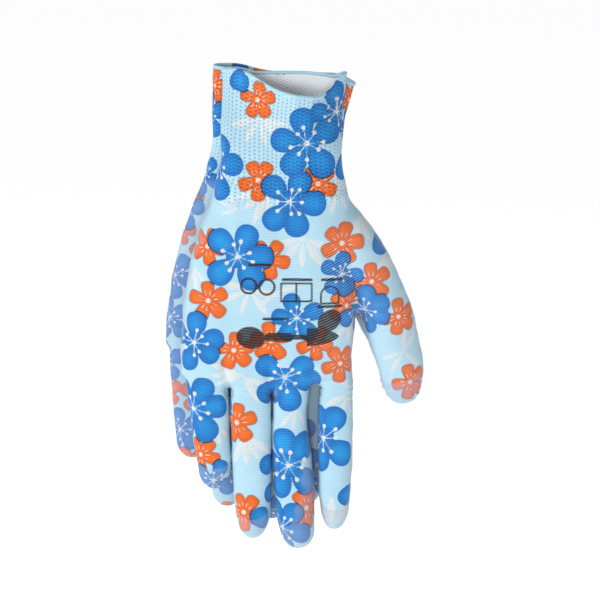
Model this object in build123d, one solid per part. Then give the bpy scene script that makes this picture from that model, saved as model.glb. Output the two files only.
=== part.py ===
from build123d import *
import os
from math import cos, radians, sin

# A pair of knitted, palm-dipped gardening gloves, lying palm to palm and held up by the cuffs.
# Row frame: +Z up towards the cuffs, thumbs towards +X, the right glove's back faces -Y.
# The origin is the centre of the right glove's wrist opening. All sizes are in millimetres.

# driving dimensions
FILM = 0.5                # thickness of the clear dip
WALL = 1.4                # thickness of the knitted liner
CUFF_WALL = 1.6           # thickness of the rib knit
KNUCKLE_Z = -154.0        # where the four finger stalls join the palm
CUFF_END_Z = -57.0        # where the cuff joins the palm
HINGE_SLOT = 0.6          # clear gap between a stall's root and the palm
PIVOT_CLEARANCE = 0.3     # how far a stall's pivot stands off the back of the glove
HEM_HEIGHT = 3.6          # overlock thread, along the cuff
HEM_RISE = 0.7            # overlock thread, out from the cuff on both faces
ELASTIC_COUNT = 11
ELASTIC_SIZE = 0.6        # height of one elastic ring
ELASTIC_DEPTH = 0.4       # thickness of one elastic ring
ELASTIC_PITCH = 4.2
ELASTIC_PLAY = 0.05       # between an elastic ring and the cuff's inner face
FIRST_ELASTIC_Z = -7.6
FINGERTIP_DIP = 15.0      # length of fingertip that the dip wraps all round
PAIR_GAP = 0.6            # between the two gloves' palm faces
RIGHT_PALM_FACE_Y = 14.5
LEFT_TURN = 3.5           # degrees, about the Y axis

# Outer sections of the hand: height, thumb-side edge, little-finger edge, depth.
CUFF_SECTIONS = [
    (6.0, 31.5, -31.0, 29.5),
    (0.0, 31.0, -30.5, 29.0),
    (-21.0, 28.5, -31.3, 27.0),
    (-40.0, 28.8, -31.5, 26.5),
    (-57.0, 32.0, -35.5, 27.5),
]
PALM_SECTIONS = [
    (-57.0, 32.0, -35.5, 27.5),
    (-76.0, 36.0, -42.5, 28.5),
    (-95.0, 37.0, -47.5, 28.5),
    (-114.0, 36.0, -50.5, 27.5),
    (-135.0, 34.0, -52.0, 25.5),
    (-154.0, 33.5, -51.5, 23.0),
]
# Sections of the thumb's base: centre x, height, half width, tilt in degrees, depth.
THENAR_SECTIONS = [
    (20.0, -62.0, 11.0, 32.0, 22.0),
    (36.0, -88.0, 14.3, 29.0, 24.0),
    (49.8, -114.9, 12.8, 17.0, 21.5),
]
THUMB_ROOT = (49.8, -114.9)
THUMB_TILT = 17.0
# Stall sections: distance from the root, centre offset, half width, half depth.
THUMB_SECTIONS = [
    (0.0, 0.0, 12.8, 10.5),
    (18.0, -0.5, 12.0, 10.0),
    (32.0, -1.0, 10.4, 9.2),
]
FINGER_SECTIONS = {
    "index": [(0.0, 25.2, 8.1, 10.0), (25.0, 25.7, 8.6, 9.4), (62.0, 25.1, 7.9, 8.6)],
    "middle": [(0.0, 4.6, 9.6, 10.5), (25.0, 3.6, 9.1, 9.8), (68.0, 5.4, 9.6, 9.0)],
    "ring": [(0.0, -16.8, 10.7, 10.3), (25.0, -16.2, 10.1, 9.7), (63.0, -15.8, 9.4, 8.8)],
    "little": [(0.0, -39.9, 11.2, 9.6), (18.0, -38.0, 10.0, 9.0), (40.0, -36.5, 8.8, 8.2)],
}
# Where each stall ends: distance from the root, centre offset.
STALL_TIPS = {
    "thumb": (50.3, -3.6),
    "index": (76.2, 24.6),
    "middle": (86.0, 6.3),
    "ring": (80.3, -15.3),
    "little": (54.5, -35.8),
}
TIP_ANGLES = [20, 38, 54, 68, 80]   # degrees round a stall's end, one section at each
FINGERS = ["index", "middle", "ring", "little"]

# How each glove differs from the sections above. The left one is empty, so it is flat and wide.
RIGHT = {
    "name": "right",
    "length": 1.0,
    "depth": 1.0,
    "cuff_widen": 0.0,
    "thumb_tilt": 0.0,
    "rim_rise": 2.9,
}
LEFT = {
    "name": "left",
    "length": 0.955,
    "depth": 0.6,
    "cuff_widen": 5.0,
    "thumb_tilt": 18.0,
    "rim_rise": 0.4,
}


def rounded_section(x_mid, y_mid, half_width, half_depth):
    """A closed section whose sides are almost half round."""
    radius = 0.92 * min(half_width, half_depth)
    return Pos(x_mid, y_mid) * RectangleRounded(2 * half_width, 2 * half_depth, radius)


def hand_loft(sections, glove, inset):
    """The solid through a run of level sections, moved in from the outside by inset."""
    faces = []
    for z, right, left, depth in sections:
        widen = glove["cuff_widen"] * max(0.0, min(1.0, (z + 80.0) / 80.0))
        half_width = (right - left) / 2 + widen - inset
        half_depth = glove["depth"] * depth / 2
        plane = Plane((0, 0, glove["length"] * z), x_dir=(1, 0, 0), z_dir=(0, 0, 1))
        section = rounded_section((right + left) / 2, -half_depth, half_width, half_depth - inset)
        faces.append(plane * section)
    return loft(faces)


def thenar_loft(glove, inset):
    """The swelling from the wrist to the thumb's root."""
    faces = []
    for step, (x, z, half_width, tilt, depth) in enumerate(THENAR_SECTIONS):
        half_depth = glove["depth"] * depth / 2
        lean = tilt + glove["thumb_tilt"] * step / 2
        plane = tilted_plane(x, glove["length"] * z, lean)
        faces.append(plane * rounded_section(0, -half_depth, half_width - inset, half_depth - inset))
    return loft(faces)


def tilted_plane(x, z, tilt):
    """A plane across a stall that leans out from straight down by tilt degrees."""
    across = (cos(radians(tilt)), 0, sin(radians(tilt)))
    away_from_tip = (-sin(radians(tilt)), 0, cos(radians(tilt)))
    return Plane((x, 0, z), x_dir=across, z_dir=away_from_tip)


def root_plane(digit, glove):
    """The plane in which a stall joins the hand: x across, y palmward, z away from the tip."""
    if digit == "thumb":
        x, z = THUMB_ROOT
        return tilted_plane(x, glove["length"] * z, THUMB_TILT + glove["thumb_tilt"])
    return tilted_plane(0, glove["length"] * KNUCKLE_Z, 0)


def digit_sections(digit):
    return THUMB_SECTIONS if digit == "thumb" else FINGER_SECTIONS[digit]


def stall_loft(digit, glove, inset, start=0.0):
    """A stall's solid from its root to its rounded tip, moved in by inset, starting at start."""
    base = root_plane(digit, glove)
    sections = digit_sections(digit)
    faces = []
    for along, x_mid, half_width, half_depth in sections:
        depth = glove["depth"] * half_depth
        level = base * Pos(0, 0, -glove["length"] * along)
        faces.append(level * rounded_section(x_mid, -depth, half_width - inset, depth - inset))
    along, x_mid, half_width, half_depth = sections[-1]
    depth = glove["depth"] * half_depth
    tip_along, tip_x = STALL_TIPS[digit]
    tip_length = glove["length"] * (tip_along - along) - inset
    for angle in TIP_ANGLES:
        reach = sin(radians(angle))
        narrow = cos(radians(angle))
        x_here = x_mid + (tip_x - x_mid) * reach
        across = (half_width - inset) * narrow
        through = (depth - inset) * narrow
        level = base * Pos(0, 0, -glove["length"] * along - tip_length * reach)
        faces.append(level * rounded_section(x_here, -depth, across, through))
    solid = loft(faces, ruled=True)
    if start > 0:
        solid = solid - base * Pos(0, 0, -start + 50) * Box(200, 200, 100)
    return solid


def stall_bore(digit, glove):
    """The inside of a stall, lengthened through the palm's end so that the two open together."""
    base = root_plane(digit, glove)
    first = digit_sections(digit)[0]
    depth = glove["depth"] * first[3]
    skin = FILM + WALL
    mouth = base * Pos(0, 0, -1) * rounded_section(first[1], -depth, first[2] - skin, depth - skin)
    return extrude(mouth, amount=5)


def below_palm_face(distance, side=400):
    """All space within distance of the palm face, which is at y = 0."""
    return Pos(0, -distance + side / 2, -120) * Box(side, side, 600)


def rim_cut(glove, offset=0.0):
    """All space above the cuff's slanting edge, moved down by offset."""
    depth = glove["depth"] * CUFF_SECTIONS[1][3]
    slope = 2 * glove["rim_rise"] / depth
    lean = Plane((0, -depth / 2, -offset), x_dir=(1, 0, 0), z_dir=(0, -slope, 1))
    return lean * Pos(0, 0, 100) * Box(300, 300, 200)


def hand_outer(glove, inset):
    return hand_loft(PALM_SECTIONS, glove, inset) + thenar_loft(glove, inset)


def make_palm(glove):
    """The palm liner with its stall mouths, and the film on its palm side."""
    outside = hand_outer(glove, FILM)
    inside = hand_loft(PALM_SECTIONS, glove, FILM + WALL) + thenar_loft(glove, FILM + WALL)
    inside = inside - level_slab(glove, KNUCKLE_Z - 10, KNUCKLE_Z + WALL / glove["length"])
    inside = inside - thumb_root_slab(glove, WALL)
    liner = outside - inside
    for digit in ["thumb"] + FINGERS:
        liner = liner - stall_bore(digit, glove)
    liner = liner - level_slab(glove, CUFF_END_Z, 40)
    skin = hand_outer(glove, 0) - outside
    skin = skin & below_palm_face(glove["depth"] * 13.0)
    skin = skin - level_slab(glove, CUFF_END_Z - 3, 40)
    return largest(liner), largest(skin)


def level_slab(glove, z_low, z_high):
    height = (z_high - z_low) * glove["length"]
    middle = (z_high + z_low) / 2 * glove["length"]
    return Pos(0, 0, middle) * Box(300, 300, height)


def thumb_root_slab(glove, thickness):
    """The last part of the thumb's base, which closes round the thumb's mouth."""
    slab = Pos(0, 0, thickness / 2 - 5) * Box(34, 100, thickness + 10)
    return root_plane("thumb", glove) * slab


def largest(shape):
    """The biggest solid of a shape, without the slivers that a cut can leave."""
    return max(shape.solids(), key=lambda solid: solid.volume)


def make_cuff(glove):
    """The rib tube, the elastic yarn inside it and the overlock thread round its edge."""
    outside = hand_loft(CUFF_SECTIONS, glove, FILM)
    inside = hand_loft(CUFF_SECTIONS, glove, FILM + CUFF_WALL)
    trim = rim_cut(glove)
    cuff = outside - inside - trim
    groove = rim_cut(glove, HEM_HEIGHT)
    thread = hand_loft(CUFF_SECTIONS, glove, FILM - HEM_RISE)
    thread = thread - hand_loft(CUFF_SECTIONS, glove, FILM + CUFF_WALL + HEM_RISE)
    thread = (thread & groove) - rim_cut(glove, -HEM_RISE)
    thread = thread - cuff
    yarn_face = FILM + CUFF_WALL + ELASTIC_PLAY
    yarn = hand_loft(CUFF_SECTIONS, glove, yarn_face)
    yarn = yarn - hand_loft(CUFF_SECTIONS, glove, yarn_face + ELASTIC_DEPTH)
    rings = []
    for turn in range(ELASTIC_COUNT):
        height = FIRST_ELASTIC_Z - ELASTIC_PITCH * turn
        slab = Pos(0, 0, glove["length"] * height) * Box(300, 300, ELASTIC_SIZE)
        rings.append(largest(yarn & slab))
    return largest(cuff), largest(thread), Compound(children=rings)


def make_stall(digit, glove):
    """A stall of the liner, open at its root, and the film over its palm side and tip."""
    outside = stall_loft(digit, glove, FILM, HINGE_SLOT)
    inside = stall_loft(digit, glove, FILM + WALL)
    stall = outside - inside
    whole = stall_loft(digit, glove, 0, HINGE_SLOT)
    film = whole - outside
    reach = glove["length"] * STALL_TIPS[digit][0] - FINGERTIP_DIP
    base = root_plane(digit, glove)
    tip_zone = base * Pos(0, 0, -reach - 100) * Box(200, 200, 200)
    palm_side = below_palm_face(glove["depth"] * digit_sections(digit)[1][3])
    film = film & (palm_side + tip_zone)
    return largest(stall), largest(film)


def place_right(shape):
    return Pos(0, RIGHT_PALM_FACE_Y, 0) * shape


def place_left(shape):
    mirrored = mirror(shape, about=Plane.XZ)
    return Pos(0, RIGHT_PALM_FACE_Y + PAIR_GAP, 0) * Rot(0, LEFT_TURN, 0) * mirrored


def write(shape, name):
    shape.label = name
    export_step(shape, f"parts/{name}.step")


def build_glove(glove, place):
    side = glove["name"]
    liner, skin = make_palm(glove)
    cuff, thread, rings = make_cuff(glove)
    write(place(liner), f"{side}_palm_liner")
    write(place(skin), f"{side}_palm_coating")
    write(place(cuff), f"{side}_cuff")
    write(place(thread), f"{side}_hem_thread")
    write(place(rings), f"{side}_cuff_elastic")
    for digit in ["thumb"] + FINGERS:
        stall, film = make_stall(digit, glove)
        write(place(stall), f"{side}_{digit}_stall")
        write(place(film), f"{side}_{digit}_coating")


os.makedirs("parts", exist_ok=True)
build_glove(RIGHT, place_right)
build_glove(LEFT, place_left)
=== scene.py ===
"""A pair of knitted, palm-dipped gardening gloves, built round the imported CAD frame.

Each glove is one continuous skin: tubes for the palm, the thumb and the fingers are joined by a
voxel remesh, smoothed, creased and printed, and then split into the pieces of the real glove.
Sizes in this file are millimetres in a glove's own frame (x across, y out of the palm face,
z towards the cuff) until mesh_object() turns them into metres.
"""
from math import cos, degrees, pi, radians, sin

import bpy
import numpy as np
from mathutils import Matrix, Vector


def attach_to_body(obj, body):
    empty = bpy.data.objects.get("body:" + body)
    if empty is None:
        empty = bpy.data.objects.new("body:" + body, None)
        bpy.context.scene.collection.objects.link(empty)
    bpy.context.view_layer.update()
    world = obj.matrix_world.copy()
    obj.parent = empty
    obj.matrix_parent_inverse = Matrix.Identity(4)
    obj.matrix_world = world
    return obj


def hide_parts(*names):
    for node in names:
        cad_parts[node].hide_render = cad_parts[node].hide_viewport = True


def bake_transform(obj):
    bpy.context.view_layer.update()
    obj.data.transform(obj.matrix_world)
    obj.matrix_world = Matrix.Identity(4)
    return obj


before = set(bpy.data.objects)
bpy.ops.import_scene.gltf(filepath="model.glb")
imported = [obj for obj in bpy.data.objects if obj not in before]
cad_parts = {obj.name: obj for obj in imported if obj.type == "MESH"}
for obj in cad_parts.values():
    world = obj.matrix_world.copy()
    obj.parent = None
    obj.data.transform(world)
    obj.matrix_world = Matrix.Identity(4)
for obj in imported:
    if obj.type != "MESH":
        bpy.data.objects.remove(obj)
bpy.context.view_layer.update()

MM = 0.001
FINGERS = ("index", "middle", "ring", "little")
DIGITS = ("thumb",) + FINGERS
VOXEL = 0.72
SMOOTH_ROUNDS = 10
WRIST_Z = -57.0
KNUCKLE_Z = -154.0


# ---------------------------------------------------------------- the two gloves' forms

# Level sections of the cuff and the palm: height, thumb edge, little-finger edge, depth.
HAND = [
    (9.0, 31.8, -31.2, 29.6),
    (0.0, 31.0, -30.5, 29.0),
    (-21.0, 28.5, -31.3, 27.0),
    (-40.0, 28.8, -31.5, 26.5),
    (-57.0, 32.0, -35.5, 27.5),
    (-76.0, 36.0, -42.5, 28.5),
    (-95.0, 37.0, -47.5, 28.5),
    (-114.0, 36.5, -50.5, 27.5),
    (-135.0, 34.3, -52.0, 25.5),
    (-149.0, 33.8, -51.9, 23.4),
]
# Sections across the thumb, from inside the wrist: x, height, half width, half depth, tilt.
THUMB = [
    (13.0, -50.0, 8.0, 10.0, 32.0),
    (21.0, -63.0, 11.0, 11.2, 32.0),
    (36.0, -88.0, 14.3, 12.2, 29.0),
    (49.9, -114.9, 13.0, 10.9, 19.0),
    (55.2, -132.3, 12.7, 10.4, 16.0),
    (59.0, -146.3, 11.4, 9.6, 12.0),
]
THUMB_TIP = (61.4, -166.0)
THUMB_ROOT = (49.8, -114.9)
THUMB_TILT = 17.0
# Sections down each finger: height, centre, half width, half depth.
FINGER = {
    "index": [
        (-138, 25.6, 7.0, 9.0),
        (-156, 26.2, 8.5, 10.0),
        (-175, 26.0, 8.9, 9.6),
        (-196, 25.9, 8.8, 9.2),
        (-212, 25.7, 8.1, 8.8),
        (-221, 25.6, 7.2, 8.2),
    ],
    "middle": [
        (-138, 4.6, 8.0, 9.0),
        (-154, 3.8, 9.8, 10.4),
        (-165, 2.9, 8.9, 10.2),
        (-180, 3.1, 9.3, 9.9),
        (-191, 3.8, 9.9, 9.7),
        (-207, 4.6, 10.3, 9.6),
        (-223, 5.7, 9.8, 9.2),
        (-230, 6.2, 9.2, 8.8),
    ],
    "ring": [
        (-138, -16.8, 9.0, 9.0),
        (-154, -16.8, 10.5, 10.2),
        (-185, -16.6, 10.2, 9.7),
        (-207, -16.3, 9.8, 9.4),
        (-223, -16.1, 8.9, 8.8),
    ],
    "little": [
        (-138, -40.0, 9.0, 8.5),
        (-156, -38.4, 10.6, 9.8),
        (-170, -37.7, 10.1, 9.3),
        (-185, -36.6, 9.4, 8.9),
        (-198, -35.5, 8.8, 8.2),
    ],
}
FINGER_TIP = {
    "index": (25.6, -233.2),
    "middle": (7.0, -243.0),
    "ring": (-16.3, -237.4),
    "little": (-35.4, -211.0),
}
PALM_END = (-8.9, -157.5)
# A finger's section is squarer at its root than at its tip: depth below the wrist, roundness.
ROOT_TO_TIP = ([160, 215], [3.4, 2.3])
TIP_ROUNDNESS = 2.1
THUMB_ROUNDNESS = 2.2
TIP_ANGLES = (17, 34, 50, 64, 76, 86)
THUMB_LENGTH = 50.3
NOWHERE = 99.0            # a distance that stands for not being there at all
RING_STEP = 2.0
WIDEN_LENGTH = 80.0
# The fingers are remeshed apart from each other and then closed up again, to this half gap.
SPREAD = {"index": 8.0, "middle": 2.6, "ring": -2.8, "little": -9.0}
SPREAD_START = -150.0
SPREAD_LENGTH = 26.0
HALF_GAP = 0.15

# What differs between the gloves. length and depth are shares of the tables above, widen is the
# flat cuff's extra half width, thumb_turn tilts the thumb's root plane and axis, and swing leans
# its drawn shape outwards. roundness is the lining's, palm_roundness the skin's.
RIGHT = dict(
    side="right", hand="root", length=1.0, depth=1.0, widen=0.0,
    thumb_turn=0.0, swing=0.0, roundness=2.35, palm_roundness=3.4, calm=1.0,
)
LEFT = dict(
    side="left", hand="left_hand", length=0.955, depth=0.6, widen=5.0,
    thumb_turn=18.0, swing=13.5, roundness=2.8, palm_roundness=2.8, calm=0.7,
)
PALM_FACE_Y = 14.5
PAIR_GAP = 0.6
LEFT_TURN = 3.5


def ease(t):
    """0 below 0, 1 above 1, smooth between."""
    t = np.clip(t, 0.0, 1.0)
    return t * t * (3 - 2 * t)


def through(samples, knots, values):
    """A smooth curve through given values (cubic Hermite, tangents from the neighbours)."""
    knots = np.asarray(knots, float)
    values = np.asarray(values, float)
    slopes = np.gradient(values, knots)
    i = np.clip(np.searchsorted(knots, samples) - 1, 0, len(knots) - 2)
    span = knots[i + 1] - knots[i]
    t = (samples - knots[i]) / span
    a = values[i] * (1 + 2 * t) * (1 - t) ** 2
    b = values[i + 1] * t * t * (3 - 2 * t)
    c = slopes[i] * span * t * (1 - t) ** 2
    d = slopes[i + 1] * span * t * t * (t - 1)
    return a + b + c + d


def ring_points(half_width, half_depth, roundness, count):
    """A closed section: an ellipse at roundness 2, squarer above it."""
    angle = np.arange(count) * 2 * pi / count
    c, s = np.cos(angle), np.sin(angle)
    x = half_width * np.sign(c) * np.abs(c) ** (2 / roundness)
    y = half_depth * np.sign(s) * np.abs(s) ** (2 / roundness)
    return x, y


def pairs_round(count):
    """Each place in a closed ring with the next one."""
    return [(k, (k + 1) % count) for k in range(count)]


def tube(rings):
    """Vertices and faces of a closed tube through rings of equal count."""
    count = len(rings[0])
    verts = [p for ring in rings for p in ring]
    faces = [
        (r * count + k, r * count + j, (r + 1) * count + j, (r + 1) * count + k)
        for r in range(len(rings) - 1) for k, j in pairs_round(count)
    ]
    for base in (0, (len(rings) - 1) * count):
        centre = len(verts)
        verts.append(np.mean(verts[base:base + count], axis=0))
        faces += [(base + k, base + j, centre) for k, j in pairs_round(count)]
    return verts, faces


def tip_step(angle):
    """How far along a rounded tip a section lies, and how narrow it is there."""
    return sin(radians(angle)), cos(radians(angle)) ** 0.85


def level_rings(rows, glove, tip=None, count=56, roundness=None):
    """Rings across a palm or a finger; rows are (height, centre, half width, half depth)."""
    rows = np.array(rows, float)[::-1]
    heights = np.arange(rows[0, 0], rows[-1, 0] + 0.01, RING_STEP)
    centre = through(heights, rows[:, 0], rows[:, 1])
    half_width = through(heights, rows[:, 0], rows[:, 2])
    half_depth = through(heights, rows[:, 0], rows[:, 3]) * glove["depth"]
    rings = []
    if tip:
        tip_x, tip_z = tip
        for angle in reversed(TIP_ANGLES):
            reach, narrow = tip_step(angle)
            x, y = ring_points(half_width[0] * narrow, half_depth[0] * narrow, TIP_ROUNDNESS, count)
            x = x + centre[0] + (tip_x - centre[0]) * reach
            z = (heights[0] + (tip_z - heights[0]) * reach) * glove["length"]
            rings.append(np.column_stack([x, y - half_depth[0], np.full(count, z)]))
    for z, c, w, d in zip(heights, centre, half_width, half_depth):
        x, y = ring_points(w, d, roundness or np.interp(-z, *ROOT_TO_TIP), count)
        rings.append(np.column_stack([x + c, y - d, np.full(count, z * glove["length"])]))
    return rings


def hand_rows(glove):
    rows = []
    for z, right, left, depth in HAND:
        widen = glove["widen"] * max(0.0, min(1.0, 1 + z / WIDEN_LENGTH))
        rows.append((z, (right + left) / 2, (right - left) / 2 + widen, depth / 2))
    return rows


def thumb_rings(glove, count=48):
    """Rings across the thumb's bent axis, from inside the wrist to its tip."""
    rows = np.array(THUMB, float)
    steps = np.arange(len(rows))
    samples = np.linspace(0, len(rows) - 1, 46)
    x_mid, z_mid, half_width, half_depth, tilt = [through(samples, steps, rows[:, i]) for i in range(5)]
    half_depth = half_depth * glove["depth"]
    swing = glove["swing"]
    root_x, root_z = THUMB_ROOT

    def leaned(x, z, share):
        """Swings a point of the thumb out round its root, for the glove whose thumb is spread."""
        a = radians(swing) * share
        dx, dz = x - root_x, z - root_z
        return root_x + dx * cos(a) - dz * sin(a), root_z + dx * sin(a) + dz * cos(a)

    def ring(x, z, turned, w, d, roundness, depth):
        """One section, centred at x and z and turned by an angle in degrees."""
        a = radians(turned)
        px, py = ring_points(w, d, roundness, count)
        return np.column_stack([x + px * cos(a), py - depth, (z + px * sin(a)) * glove["length"]])

    rings = []
    for x, z, w, d, t, s in zip(x_mid, z_mid, half_width, half_depth, tilt, samples):
        x, z = leaned(x, z, min(1.0, max(0.0, s - 2.0)))
        rings.append(ring(x, z, t + swing * min(1.0, s / 3.0), w, d, THUMB_ROUNDNESS, d))
    last_x, last_z = leaned(x_mid[-1], z_mid[-1], 1.0)
    tip_x, tip_z = leaned(*THUMB_TIP, 1.0)
    w, d = half_width[-1], half_depth[-1]
    for angle in TIP_ANGLES:
        reach, narrow = tip_step(angle)
        x = last_x + (tip_x - last_x) * reach
        z = last_z + (tip_z - last_z) * reach
        rings.append(ring(x, z, tilt[-1] + swing, w * narrow, d * narrow, TIP_ROUNDNESS, d))
    return rings


def spread_at(z, digit, glove):
    start = SPREAD_START * glove["length"]
    return SPREAD[digit] * ease((start - z) / SPREAD_LENGTH)


def glove_skin(glove):
    """The glove's closed outer skin, as arrays of vertices and faces."""
    verts, faces = [], []

    def add(rings):
        v, f = tube(rings)
        base = len(verts)
        verts.extend(v)
        faces.extend(tuple(i + base for i in face) for face in f)

    palm_roundness = glove["palm_roundness"]
    add(level_rings(hand_rows(glove), glove, tip=PALM_END, count=96, roundness=palm_roundness))
    add(thumb_rings(glove))
    for digit in FINGERS:
        rings = level_rings(FINGER[digit], glove, tip=FINGER_TIP[digit])
        for ring in rings:
            ring[:, 0] += spread_at(ring[0, 2], digit, glove)
        add(rings)
    mesh = bpy.data.meshes.new("skin_tubes")
    mesh.from_pydata([tuple(v) for v in verts], [], faces)
    holder = bpy.data.objects.new("skin_tubes", mesh)
    bpy.context.collection.objects.link(holder)
    remesh = holder.modifiers.new("remesh", "REMESH")
    remesh.mode = "VOXEL"
    remesh.voxel_size = VOXEL
    graph = bpy.context.evaluated_depsgraph_get()
    fine = bpy.data.meshes.new_from_object(holder.evaluated_get(graph))
    points = np.empty(len(fine.vertices) * 3)
    fine.vertices.foreach_get("co", points)
    points = points.reshape(-1, 3)
    corners = np.empty(len(fine.polygons) * 4, int)
    fine.polygons.foreach_get("vertices", corners)
    quads = corners.reshape(-1, 4)
    bpy.data.objects.remove(holder)
    bpy.data.meshes.remove(mesh)
    bpy.data.meshes.remove(fine)
    return points, quads


def edges_of(quads):
    pairs = np.vstack([quads[:, [0, 1]], quads[:, [1, 2]], quads[:, [2, 3]], quads[:, [3, 0]]])
    pairs = np.sort(pairs, axis=1)
    return np.unique(pairs, axis=0)


def smooth(points, edges, rounds, amount=0.5):
    count = len(points)
    degree = np.bincount(edges.ravel(), minlength=count)[:, None]
    for _ in range(rounds):
        total = np.zeros_like(points)
        for axis in range(3):
            total[:, axis] = np.bincount(edges[:, 0], points[edges[:, 1], axis], count)
            total[:, axis] += np.bincount(edges[:, 1], points[edges[:, 0], axis], count)
        points = points + amount * (total / degree - points)
    return points


def normals_of(points, quads):
    p = points[quads]
    face = np.cross(p[:, 2] - p[:, 0], p[:, 3] - p[:, 1])
    normal = np.zeros_like(points)
    for corner in range(4):
        for axis in range(3):
            normal[:, axis] += np.bincount(quads[:, corner], face[:, axis], len(points))
    return normal / np.maximum(np.linalg.norm(normal, axis=1, keepdims=True), 1e-9)


def close_fingers(points, glove):
    """Moves the remeshed fingers back side by side."""
    z = points[:, 2]
    level = -z / glove["length"]
    stops, shifts = [], []
    for digit in ("little", "ring", "middle", "index"):
        rows = np.array(FINGER[digit])
        shift = spread_at(z, digit, glove)
        here = np.interp(level, -rows[:, 0], rows[:, 1]) + shift
        wide = np.interp(level, -rows[:, 0], rows[:, 2])
        stops += [here - wide, here + wide]
        shifts += [shift, shift]
    for k in range(1, 7, 2):
        middle = (stops[k] + stops[k + 1]) / 2
        stops[k] = np.minimum(stops[k], middle - HALF_GAP)
        stops[k + 1] = np.maximum(stops[k + 1], middle + HALF_GAP)
    stops, shifts = np.array(stops), np.array(shifts)
    x = points[:, 0]
    moved = shifts[0].copy()
    for k in range(len(stops) - 1):
        t = np.clip((x - stops[k]) / np.maximum(stops[k + 1] - stops[k], 1e-6), 0, 1)
        moved = np.where(x > stops[k], shifts[k] + (shifts[k + 1] - shifts[k]) * t, moved)
    moved = np.where(x > stops[-1], shifts[-1], moved)
    thumb = on_thumb(points, glove) > -12
    moved = np.where(thumb & (x > 34), 0, moved)
    out = points.copy()
    out[:, 0] -= moved
    return out


def thumb_axis(glove):
    a = radians(THUMB_TILT + glove["thumb_turn"])
    return np.array([sin(a), 0, -cos(a)])


def on_thumb(points, glove):
    """Distance beyond the thumb's root plane, towards its tip; far below zero off the thumb."""
    root = np.array([THUMB_ROOT[0], 0, THUMB_ROOT[1] * glove["length"]])
    along = (points - root) @ thumb_axis(glove)
    z = points[:, 2] / glove["length"]
    inner_edge = np.interp(-z, [119, 135, 150, 170], [37.0, 41.0, 45.0, 45.5])
    return np.where(points[:, 0] > inner_edge, along, -NOWHERE)


def finger_of(points, glove):
    """Which finger a point below the knuckles is on."""
    z = points[:, 2] / glove["length"]
    edges = []
    for a, b in (("little", "ring"), ("ring", "middle"), ("middle", "index")):
        ra, rb = np.array(FINGER[a]), np.array(FINGER[b])
        right = np.interp(-z, -ra[:, 0], ra[:, 1] + ra[:, 2])
        left = np.interp(-z, -rb[:, 0], rb[:, 1] - rb[:, 2])
        edges.append((right + left) / 2)
    x = points[:, 0]
    which = np.full(len(x), 3)
    which[x > edges[0]] = 2
    which[x > edges[1]] = 1
    which[x > edges[2]] = 0
    return which


REGIONS = ("cuff", "palm") + DIGITS


def region_of(points, glove):
    """Each point's place in REGIONS."""
    z = points[:, 2] / glove["length"]
    region = np.where(z > WRIST_Z, 0, 1)
    thumb = on_thumb(points, glove) > 0
    below = (z < KNUCKLE_Z) & ~(on_thumb(points, glove) > -50)
    region = np.where(below, 3 + finger_of(points, glove), region)
    return np.where(thumb, REGIONS.index("thumb"), region)


# ---------------------------------------------------------------- the floral print

# The flat print, in millimetres. A blossom is across, height, size and the directions of its
# petals; a spray is across, height, size and the directions of its leaflets. Motifs under "hand"
# run on over the digits; the others stay on their own digit.
BLUE_BLOSSOMS = {
    "hand": [
        (11.4, -29.0, 19.0, (28, 101, 172, 236, 306)),
        (27.0, -15.5, 14.5, (26, 96, 172, 246, 314)),
        (3.0, -58.0, 17.4, (64, 136, 229, 286, 355)),
        (-22.8, -85.6, 18.2, (0, 66, 137, 224, 302)),
        (28.8, -94.8, 11.4, (352, 88, 152, 232, 286)),
        (6.4, -117.0, 13.4, (21, 107, 176, 238, 308)),
        (39.6, -114.8, 13.6, (24, 82, 205, 284, 342)),
        (-45.0, -130.6, 15.6, (14, 84, 160, 252, 322)),
        (0.4, -149.2, 17.6, (36, 144, 226, 281, 352)),
        (-46.0, -166.4, 18.6, (6, 64, 130, 235, 300)),
        (-36.4, -41.5, 17.0, (66, 8, 140, 212, 290)),
        (-21.0, 7.6, 13.2, (262,)),
        (51.2, -71.5, 14.6, (259,)),
        (42.6, -53.0, 13.0, (302,)),
        (33.2, -33.0, 15.6, (259,)),
    ],
    "middle": [
        (2.2, -196.0, 20.0, (50, 103, 175, 246, 318)),
        (-1.8, -230.0, 16.5, (55, 118, 200, 275, 345)),
    ],
    "index": [
        (19.4, -182.0, 18.8, (62, 108, 180, 256, 322)),
        (39.0, -206.0, 14.5, (228,)),
    ],
    "little": [
        (-36.0, -205.2, 12.6, (60, 150, 215, 275, 335)),
    ],
    "ring": [
        (3.4, -196.2, 16.6, (180,)),
        (6.0, -211.6, 16.0, (182,)),
        (-7.4, -233.4, 16.5, (114,)),
    ],
    "thumb": [],
}
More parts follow.
